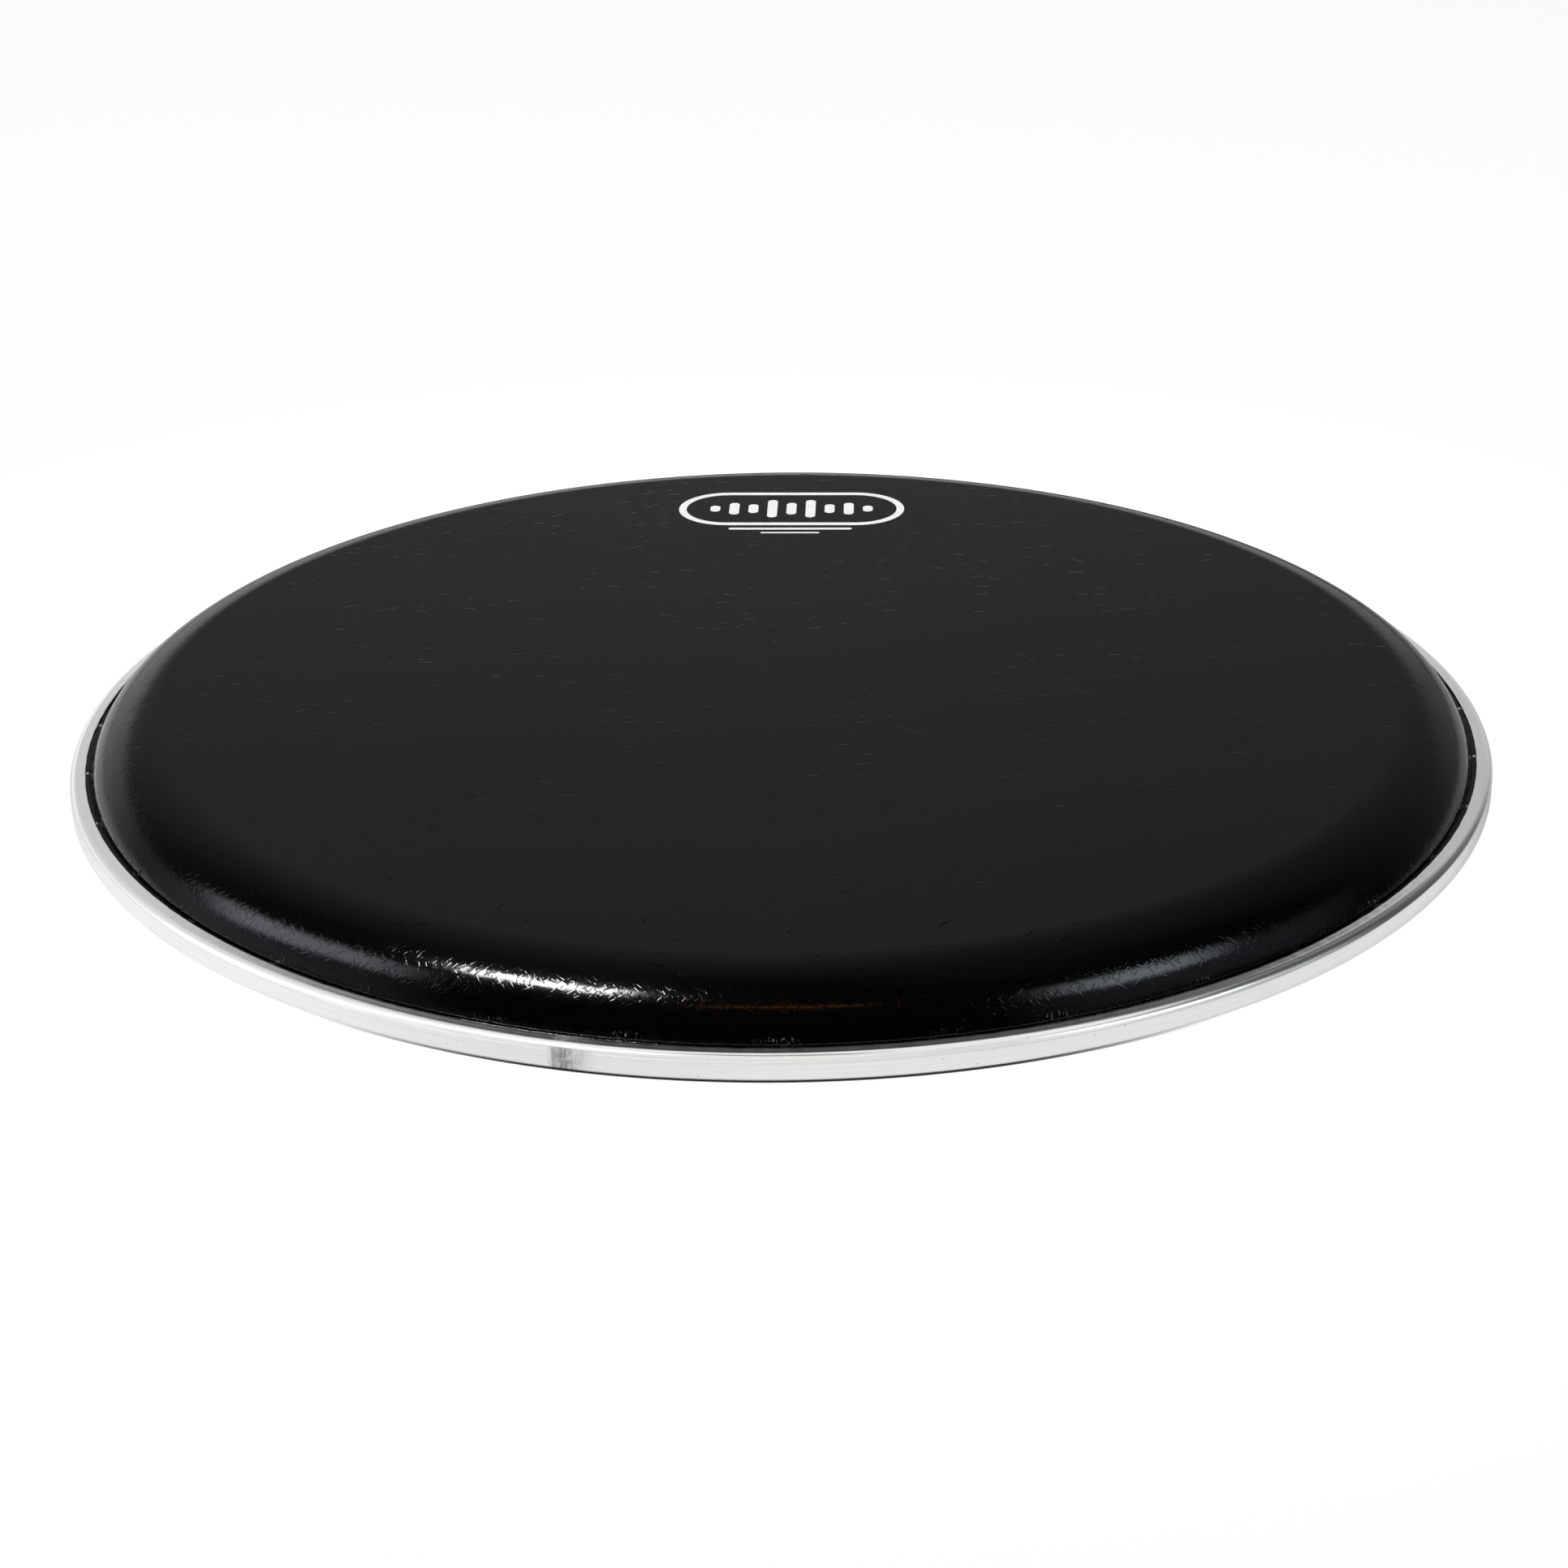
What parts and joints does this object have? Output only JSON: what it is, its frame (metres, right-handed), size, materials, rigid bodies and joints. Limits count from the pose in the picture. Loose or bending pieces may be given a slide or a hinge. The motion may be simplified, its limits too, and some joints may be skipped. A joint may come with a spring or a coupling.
{
  "type": "bass drumhead",
  "caption": "Round drumhead for a small bass drum: a black film drawn over a rounded collar and crimped into an aluminium hoop.",
  "frame": {"origin": "on the drum's axis, in the plane of the hoop's underside", "axes": "+Z along the drum's axis out of the playing side, +Y towards the printed mark, +X completes a right-handed set"},
  "size_m": [0.424, 0.424, 0.0213],
  "materials": {
    "black_film": "satin polyester film with a fine grain",
    "inlay_film": "smooth polyester film",
    "bond_line": "cured adhesive line",
    "hoop_aluminium": "bright satin, drawn along the hoop",
    "weld_aluminium": "ground across the joint",
    "insert_aluminium": "mill finish",
    "white_ink": "screen-printed ink"
  },
  "bodies": {
    "root": {"playing_film": "black_film", "inlay_ring": "inlay_film", "inlay_adhesive": "bond_line", "hoop_channel": "hoop_aluminium", "hoop_weld": "weld_aluminium", "insert_ring": "insert_aluminium", "printed_mark": "white_ink"}
  },
  "joints": []
}
